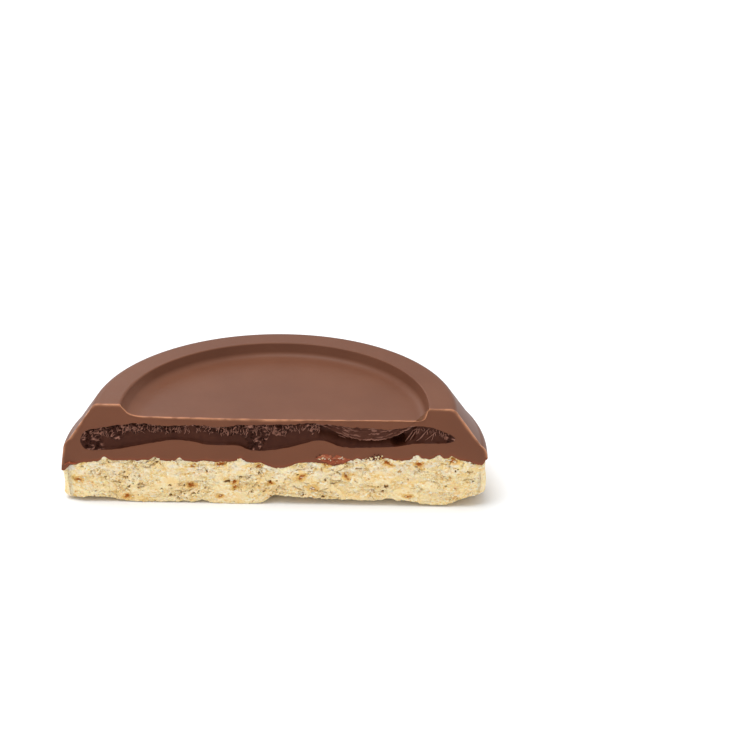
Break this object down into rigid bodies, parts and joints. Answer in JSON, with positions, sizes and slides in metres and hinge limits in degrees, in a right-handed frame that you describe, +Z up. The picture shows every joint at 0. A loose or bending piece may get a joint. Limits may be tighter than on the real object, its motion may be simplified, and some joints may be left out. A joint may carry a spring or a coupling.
{
  "type": "caramel-filled biscuit half",
  "caption": "Half of a round filled biscuit, cut straight through: a crumbly biscuit base under a moulded milk chocolate cap with a raised rim, a shallow dish and a pocket of dark caramel.",
  "frame": {"origin": "middle of the bottom of the part's box, on the table that the biscuit lies on", "axes": "+X along the straight cut, +Y from the cut to the round back, +Z up"},
  "size_m": [0.0524, 0.0264, 0.0133],
  "materials": {
    "biscuit": "dry, pale golden, crumbly baked dough with small holes and toasted specks",
    "milk_chocolate": "smooth satin milk chocolate, a little duller on the cut",
    "dark_caramel": "very dark brown, dense and sticky: torn and rough above, smooth below"
  },
  "bodies": {
    "root": {"biscuit_base": "biscuit", "chocolate_cap": "milk_chocolate", "caramel_filling": "dark_caramel"}
  },
  "joints": []
}
